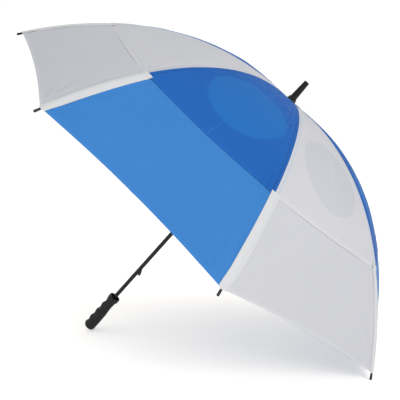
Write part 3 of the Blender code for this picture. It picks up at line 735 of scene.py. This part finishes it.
def chord_basis(rib, sign, upper, outer):
    """Along a rib's chord, across it towards the panel, outward, and a point beside the rib."""
    first, last = (JOINT_SHARE, HEM_SHARE if upper else 1.0) if outer else (0.0, JOINT_SHARE)
    r0, z0 = line(first)
    r1, z1 = line(last)
    turn = (2 * rib + 1) * HALF
    radial = np.array([math.cos(turn), math.sin(turn), 0.0])
    tangent = np.array([-math.sin(turn), math.cos(turn), 0.0]) * sign
    chord = radial * (r1 - r0) + np.array([0.0, 0.0, z1 - z0])
    chord /= np.linalg.norm(chord)
    middle = (first + last) / 2
    on_chord = radial * (r0 + r1) / 2 + np.array([0.0, 0.0, (z0 + z1) / 2])
    on_rib = radial * line(middle)[0] + np.array([0.0, 0.0, line(middle)[1]])
    return chord, tangent, radial, (on_chord + on_rib) / 2


def half_panel(rib, sign, upper, outer):
    """Half a panel, from a rib to the panel's middle line, on one side of the rib's joint."""
    panel = rib if sign > 0 else (rib - 1) % SECTORS
    rows = piece_rows(upper, outer)
    wide = half_width(rows)
    reach = wide.copy()
    if not upper:
        gap = VENT_R**2 - ((rows - VENT_SHARE) * RIB_ARC) ** 2
        reach -= np.sqrt(np.clip(gap, 0.0, None))
    scale = np.minimum(1.0, reach / SEAM_SQUEEZE)
    near = NEAR_SEAM[None, :] * scale[:, None]
    count = OUTER_COLUMNS if outer else INNER_COLUMNS
    spread = np.linspace(0.0, 1.0, count + 1)[1:]
    far = near[:, -1:] + (reach[:, None] - near[:, -1:]) * spread[None, :]
    seam = np.concatenate([near, far], axis=1)
    across = -sign * (1.0 - seam / wide[:, None])
    share = np.repeat(rows[:, None], seam.shape[1], axis=1)
    place, normals_of = cloth(panel, upper)
    points, normals = place(share, across), normals_of(share, across)
    edge = ((HEM_SHARE if upper else 1.0) - share) * RIB_ARC
    thick = THIN + HEM_EXTRA * (1 - smooth_step((edge - HEM_WIDE) / 0.0010))
    side = across * wide[:, None]
    vent = np.hypot(side, (share - VENT_SHARE) * RIB_ARC) - VENT_R
    # how strongly the painted vent light shows on this panel
    vent_light_shows = np.full_like(share, VENT_LIGHT_SHOWS[panel])
    facts = {
        "cut": np.stack([seam, edge, vent], axis=-1),
        "thread": np.stack([side, share * RIB_ARC, vent_light_shows], axis=-1),
    }
    colour = "blue" if panel % 2 else "white"
    layer = "upper" if upper else "lower"
    part = "outer" if outer else "inner"
    name = f"{layer}_{part}_rib{rib}_{'left' if sign > 0 else 'right'}"
    piece = shell(name, points, normals, thick, MATERIALS[f"{colour}_{layer}"], facts)
    body = f"rib_{part}_{rib}"
    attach(piece, body)
    chord, tangent, radial, anchor = chord_basis(rib, sign, upper, outer)
    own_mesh(piece)


def rib_tape(rib):
    """The tape sewn over a rib's seam, from over the upper hem down to the rib's tip."""
    lap = TAPE_LAP / RIB_ARC
    rows = np.concatenate([
        np.linspace(HEM_SHARE - lap, HEM_SHARE + 0.6 * lap, 15)[:-1],
        rows_between(HEM_SHARE + 0.6 * lap, 1.0015, TAPE_STEP),
    ])
    taper = 1 - 0.10 * smooth_step((rows - 0.90) / 0.10)
    fade = 1 - 0.7 * smooth_step((rows - 0.93) / 0.07)
    offset = TAPE_COLUMNS[None, :] * TAPE_HALF * taper[:, None] + TAPE_SHIFTS[rib] * fade[:, None]
    share = np.repeat(rows[:, None], len(TAPE_COLUMNS), axis=1)
    over = smooth_step((HEM_SHARE + 1.1 * lap - share) / (0.7 * lap))
    lift = 0.00055 + over * (FABRIC + GAP + 0.0003)
    wide = half_width(share)
    points = np.zeros(share.shape + (3,))
    normals = np.zeros_like(points)
    for sign, panel in ((1, rib), (-1, (rib - 1) % SECTORS)):
        across = -sign * (1 - np.abs(offset) / wide)
        place, normals_of = cloth(panel, False)
        mine = (offset * sign > 0)[..., None] + 0.5 * (offset == 0)[..., None]
        points += mine * place(share, across)
        normals += mine * normals_of(share, across)
    blend = np.exp(-((offset / 0.0035) ** 2))[..., None]  # no kink over the seam
    normals = normals * (1 - blend) + rib_outward(rib, share) * blend
    normals /= np.linalg.norm(normals, axis=-1, keepdims=True)
    points = points + normals * lift[..., None]
    facts = {"thread": np.stack([offset, share * RIB_ARC, offset * 0], axis=-1)}
    thick = np.full(share.shape, TAPE_THICK)
    piece = shell(f"rib_tape_{rib}", points, normals, thick, MATERIALS["tape"], facts)
    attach(piece, f"rib_outer_{rib}")


# ---- hard parts -----------------------------------------------------------------------------
def z_on_axis(node, which):
    """A node's lowest or highest place along the shaft, by min or max."""
    mesh = frame["nodes"][node].data
    return which((vertex.co - ORIGIN).dot(UP) for vertex in mesh.vertices)


def make_ferrule():
    """The spike's flange, stem and nose."""
    foot, top = z_on_axis("ferrule", min), z_on_axis("ferrule", max)
    flange, bore = foot + FERRULE_FLANGE, foot + FERRULE_BORE
    profile = rounded([
        (0.0, top),
        (FERRULE_NOSE_R, top),
        (FERRULE_STEM_R, flange + 0.0004),
        (FERRULE_FLANGE_R, flange),
        (FERRULE_FLANGE_R, foot),
        (FERRULE_BORE_R, foot),
        (FERRULE_BORE_R, bore),
        (0.0, bore),
    ], [0, 0.0009, 0.0016, 0.0011, 0.0006, 0, 0, 0], 6)
    piece = lathe("ferrule_moulding", profile, MATERIALS["gloss_plastic"], "root", steps=96)
    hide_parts("ferrule")


def make_tips():
    """The plastic caps on the ribs' ends: a ribbed collar and a round nose."""
    radius, z = line(1.0, ROD_DEPTH)
    lean = Matrix.Rotation(slope(1.0) + math.pi / 2, 4, "Y")
    profile = rounded([
        (0.0, TIP_LENGTH),
        (TIP_R, TIP_LENGTH),
        (0.0029, 0.0042),
        (0.0024, 0.0036),
        (0.0024, 0.0030),
        (TIP_R, 0.0024),
        (TIP_R, 0.0008),
        (0.0023, 0.0008),
        (0.0023, 0.0113),
        (0.0, 0.0113),
    ], [0, 0.0026, 0.0006, 0.0003, 0.0003, 0.0004, 0.0003, 0, 0, 0], 6)
    for rib in range(SECTORS):
        turn = (2 * rib + 1) * HALF
        place = Matrix.Rotation(turn, 4, "Z") @ Matrix.Translation((radius, 0.0, z)) @ lean
        plastic = MATERIALS["black_plastic"]
        piece = lathe(f"tip_cap_{rib}", profile, plastic, f"rib_outer_{rib}", place, steps=32)
        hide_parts(f"rib_tip_{rib}")


def grip_radius(share, angle):
    """The grip's outer radius: a waist under the cup, a fuller end, and finger grooves at -X."""
    body = 0.0148 + 0.0022 * smooth_step(share / 0.85)
    palm = np.clip(-np.cos(angle), 0.0, None)
    wave = 0.5 - 0.5 * np.cos(math.tau * FINGERS * share)
    narrow = np.sin(math.pi * np.minimum(1.0, share / 0.45))
    waist = 0.0012 * narrow * np.clip(np.cos(angle), 0.0, None)
    return body - 0.0030 * wave * palm - waist + 0.0016 * palm


def make_grip():
    """The soft grip, with rounded ends and a field of fine dimples."""
    length = GRIP_TOP - GRIP_FOOT
    share = np.linspace(0.0, 1.0, GRIP_ROWS)
    angle = np.linspace(0.0, math.tau, GRIP_SIDES, endpoint=False)
    s, a = np.meshgrid(share, angle, indexing="ij")
    edge = np.minimum(s, 1 - s) * length
    dimples = (np.cos(a * 42) * np.cos(math.tau * s * 44)).clip(0, 1)
    radius = grip_radius(s, a) - 0.0007 * (1 - smooth_step(edge / 0.0022)) ** 2
    radius = radius - 0.00018 * smooth_step((edge - 0.009) / 0.003) * dimples
    outer = np.stack([radius * np.cos(a), radius * np.sin(a), GRIP_TOP - s * length], axis=-1)
    x, y = GRIP_BORE_R * np.cos(angle), GRIP_BORE_R * np.sin(angle)
    bore = [np.stack([x, y, np.full(GRIP_SIDES, z)], axis=-1) for z in (GRIP_FOOT, GRIP_TOP)]
    points = np.concatenate([outer.reshape(-1, 3), *bore])
    rings = GRIP_ROWS + len(bore)
    faces = []
    for row in range(rings):
        here, below = row * GRIP_SIDES, (row + 1) % rings * GRIP_SIDES
        for c in range(GRIP_SIDES):
            d = (c + 1) % GRIP_SIDES
            faces.append((here + c, below + c, below + d, here + d))
    mesh = bpy.data.meshes.new("grip_sleeve")
    mesh.from_pydata(to_row(points).tolist(), [], faces)
    mesh.shade_smooth()
    mesh.set_sharp_from_angle(angle=math.radians(50))
    mesh.materials.append(MATERIALS["grip"])
    piece = link("grip_sleeve", mesh)
    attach(piece, "root")
    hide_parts("handle_grip")


def make_cup():
    """The collar that gathers the ribs' tips when the umbrella is furled."""
    wall, floor = CUP_R - 0.0030, CUP_RIM - CUP_DEPTH
    profile = rounded([
        (wall, CUP_RIM),
        (CUP_R, CUP_RIM),
        (CUP_R, CUP_FOOT + 0.0016),
        (CUP_R - 0.0016, CUP_FOOT),
        (CUP_BORE_R, CUP_FOOT),
        (CUP_BORE_R, floor),
        (wall, floor),
        (wall, CUP_RIM - 0.0006),
    ], [0, 0.0010, 0.0012, 0.0008, 0, 0.0004, 0.0020, 0], 5)
    piece = lathe("cup_collar", profile, MATERIALS["black_plastic"], "root", steps=96)
    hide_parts("handle_cup")


def make_end_cap():
    """The handle's rounded end, with a spigot in the tube."""
    spigot = END_CAP_TOP + END_CAP_SPIGOT
    profile = rounded([
        (0.0, spigot),
        (END_CAP_SPIGOT_R, spigot),
        (END_CAP_SPIGOT_R, END_CAP_TOP),
        (END_CAP_R, END_CAP_TOP),
        (END_CAP_R, -END_FACE),
        (0.0, -END_FACE),
    ], [0, 0.0005, 0, 0.0005, 0.0066, 0], 9)
    piece = lathe("end_plug", profile, MATERIALS["grip"], "root", steps=96)
    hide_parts("handle_end_cap")


def make_catch():
    """The lower catch: a flat spring leaf with a rounded nose that stands out through the shaft."""
    low, high = CATCH_FOOT - CATCH_TAIL, CATCH_FOOT + CATCH_LENGTH
    outline = rounded([
        (CATCH_BACK, low),
        (CATCH_WALL, low),
        (CATCH_WALL, CATCH_FOOT),
        (CATCH_NOSE - 0.0008, CATCH_FOOT),
        (CATCH_NOSE, CATCH_FOOT + 0.0042),
        (CATCH_NOSE - 0.0022, CATCH_FOOT + 0.0105),
        (CATCH_WALL, high),
        (CATCH_WALL, high + CATCH_TAIL),
        (CATCH_BACK, high + CATCH_TAIL),
    ], [0, 0.0004, 0, 0.0030, 0.0030, 0.0045, 0.0020, 0.0004, 0], 6)
    points = [(x, y, z) for y in (-CATCH_HALF, CATCH_HALF) for x, z in outline]
    count = len(outline)
    faces = [list(range(count)), list(range(2 * count - 1, count - 1, -1))]
    faces += [(i, i + count, (i + 1) % count + count, (i + 1) % count) for i in range(count)]
    mesh = bpy.data.meshes.new("catch_leaf")
    mesh.from_pydata(points, [], faces)
    mesh.transform(PLACE)
    mesh.shade_smooth()
    mesh.set_sharp_from_angle(angle=math.radians(35))
    mesh.materials.append(MATERIALS["black_steel"])
    piece = link("catch_leaf", mesh)
    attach(piece, "bottom_spring")
    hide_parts("bottom_spring")


def make_strap():
    """The tie strap, lying along a rib's tape, with a round end."""
    rows = rows_between(*STRAP_SHARES, STRAP_STEP)
    cross = np.linspace(-1.0, 1.0, 13)
    round_off = STRAP_HALF / RIB_ARC
    end = np.clip((rows - (STRAP_SHARES[1] - round_off)) / round_off, 0.0, 0.999)
    width = STRAP_HALF * np.sqrt(1 - end**2)
    offset = cross[None, :] * width[:, None]
    share = np.repeat(rows[:, None], len(cross), axis=1)
    turn = (2 * STRAP_RIB + 1) * HALF
    radius, z = line(share, -(GAP + 0.0019 + 0.0006 * (1 - cross[None, :] ** 2)))
    points = np.stack([
        radius * math.cos(turn) - offset * math.sin(turn),
        radius * math.sin(turn) + offset * math.cos(turn),
        z,
    ], axis=-1)
    edge = STRAP_HALF - np.abs(offset)
    facts = {
        "cut": np.stack([edge + 1.0, edge + 0.0025, edge + 1.0], axis=-1),  # a hem, no seam or vent
        "thread": np.stack([share * RIB_ARC, offset, offset * 0], axis=-1),
    }
    thick = np.full(share.shape, STRAP_THICK)
    outward = rib_outward(STRAP_RIB, share)
    piece = shell("tie_strap_band", points, outward, thick, MATERIALS["blue_upper"], facts)
    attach(piece, f"rib_outer_{STRAP_RIB}")
    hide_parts("tie_strap")


# ---- the studio -----------------------------------------------------------------------------
def make_floor():
    """A pale floor that glows a little, so that it runs out to white."""
    n = Nodes("studio_floor")
    inputs = {
        "Base Color": FLOOR_SHADE,
        "Roughness": 0.8,
        "Specular IOR Level": 0.05,
        "Emission Color": (1.0, 1.0, 1.0),
        "Emission Strength": FLOOR_GLOW,
    }
    surface = n.make("ShaderNodeBsdfPrincipled", inputs)
    mesh = bpy.data.meshes.new("studio_floor")
    corners = [(FLOOR_REACH * x, FLOOR_REACH * y, 0) for x, y in ((-1, -1), (1, -1), (1, 1), (-1, 1))]
    mesh.from_pydata(corners, [], [(0, 1, 2, 3)])
    mesh.materials.append(n.finish(surface.outputs[0]))
    link("studio_floor", mesh)


def make_lights():
    """White light from everywhere, and one large lamp in front on the right."""
    world = bpy.data.worlds.new("studio_world")
    bpy.context.scene.world = world
    world.use_nodes = True
    background = world.node_tree.nodes["Background"]
    background.inputs["Color"].default_value = (1.0, 1.0, 1.0, 1.0)
    background.inputs["Strength"].default_value = WORLD_LIGHT
    lamp = bpy.data.lights.new("key", "AREA")
    lamp.shape = "DISK"
    lamp.size = KEY_SIZE
    lamp.energy = KEY_POWER
    item = bpy.data.objects.new("key", lamp)
    item.location = KEY_PLACE
    item.rotation_euler = (Vector(KEY_AIM) - Vector(KEY_PLACE)).to_track_quat("-Z", "Y").to_euler()
    bpy.context.scene.collection.objects.link(item)


def make_camera():
    camera = bpy.data.cameras.new("camera")
    camera.lens = CAMERA_LENS
    camera.sensor_width = 36.0
    camera.clip_start = 0.05
    camera.clip_end = 100.0
    item = bpy.data.objects.new("camera", camera)
    right = Vector(CAMERA_RIGHT).normalized()
    ahead = Vector(CAMERA_AHEAD).normalized()
    above = right.cross(ahead).normalized()
    turn = Matrix((right, above, -ahead)).transposed()
    item.matrix_world = Matrix.Translation(CAMERA_PLACE) @ turn.to_4x4()
    bpy.context.scene.collection.objects.link(item)
    bpy.context.scene.camera = item
    view = bpy.context.scene.view_settings
    view.view_transform = "Standard"
    view.look = "None"


dress_cad_nodes()
for rib in range(SECTORS):
    for sign in (1, -1):
        for outer in (False, True):
            for upper in (False, True):
                half_panel(rib, sign, upper, outer)
    rib_tape(rib)
for layer in ("lower", "upper"):
    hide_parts(f"{layer}_canopy")
make_strap()
make_ferrule()
make_tips()
make_grip()
make_cup()
make_end_cap()
make_catch()
make_floor()
make_lights()
make_camera()
